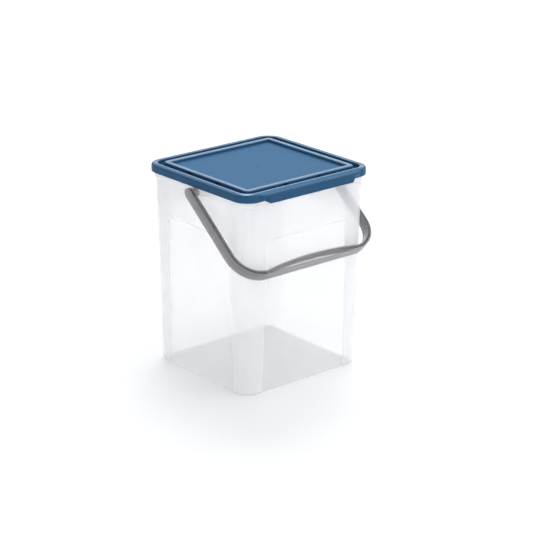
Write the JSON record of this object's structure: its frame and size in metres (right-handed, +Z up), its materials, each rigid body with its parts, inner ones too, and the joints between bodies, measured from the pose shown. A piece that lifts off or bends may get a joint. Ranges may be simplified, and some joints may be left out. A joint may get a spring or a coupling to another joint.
{
  "type": "storage tub",
  "caption": "Clear square storage tub with tapered walls, a blue press-on lid with a front grip flap, and a smoky bail handle that swings over the lid.",
  "frame": {"origin": "centre of the tub's underside", "axes": "+Z up; -Y to the front, where the lid has its grip flap and the handle hangs; +X along the axis of the handle's pivots"},
  "size_m": [0.2228, 0.2064, 0.2615],
  "materials": {
    "clear_plastic": "clear milky moulded plastic, faintly blue, smooth with a soft sheen",
    "blue_plastic": "mid blue moulded plastic, fine matte texture on the panel, semi-gloss rim and skirt",
    "smoke_plastic": "translucent smoky grey moulded plastic, smooth"
  },
  "bodies": {
    "tub_body": {"tub": "clear_plastic"},
    "lid_body": {"lid": "blue_plastic"},
    "handle_body": {"bail_handle": "smoke_plastic"}
  },
  "joints": [
    {"name": "handle_swing", "type": "hinge", "parent": "tub_body", "child": "handle_body", "pos_m": [0, 0, 0.244], "axis": [-1, 0, 0], "range_deg": [0, 259.2]},
    {"name": "lid_lift", "type": "slide", "parent": "tub_body", "child": "lid_body", "axis": [0, 0, 1], "range_m": [0, 0.08]}
  ]
}
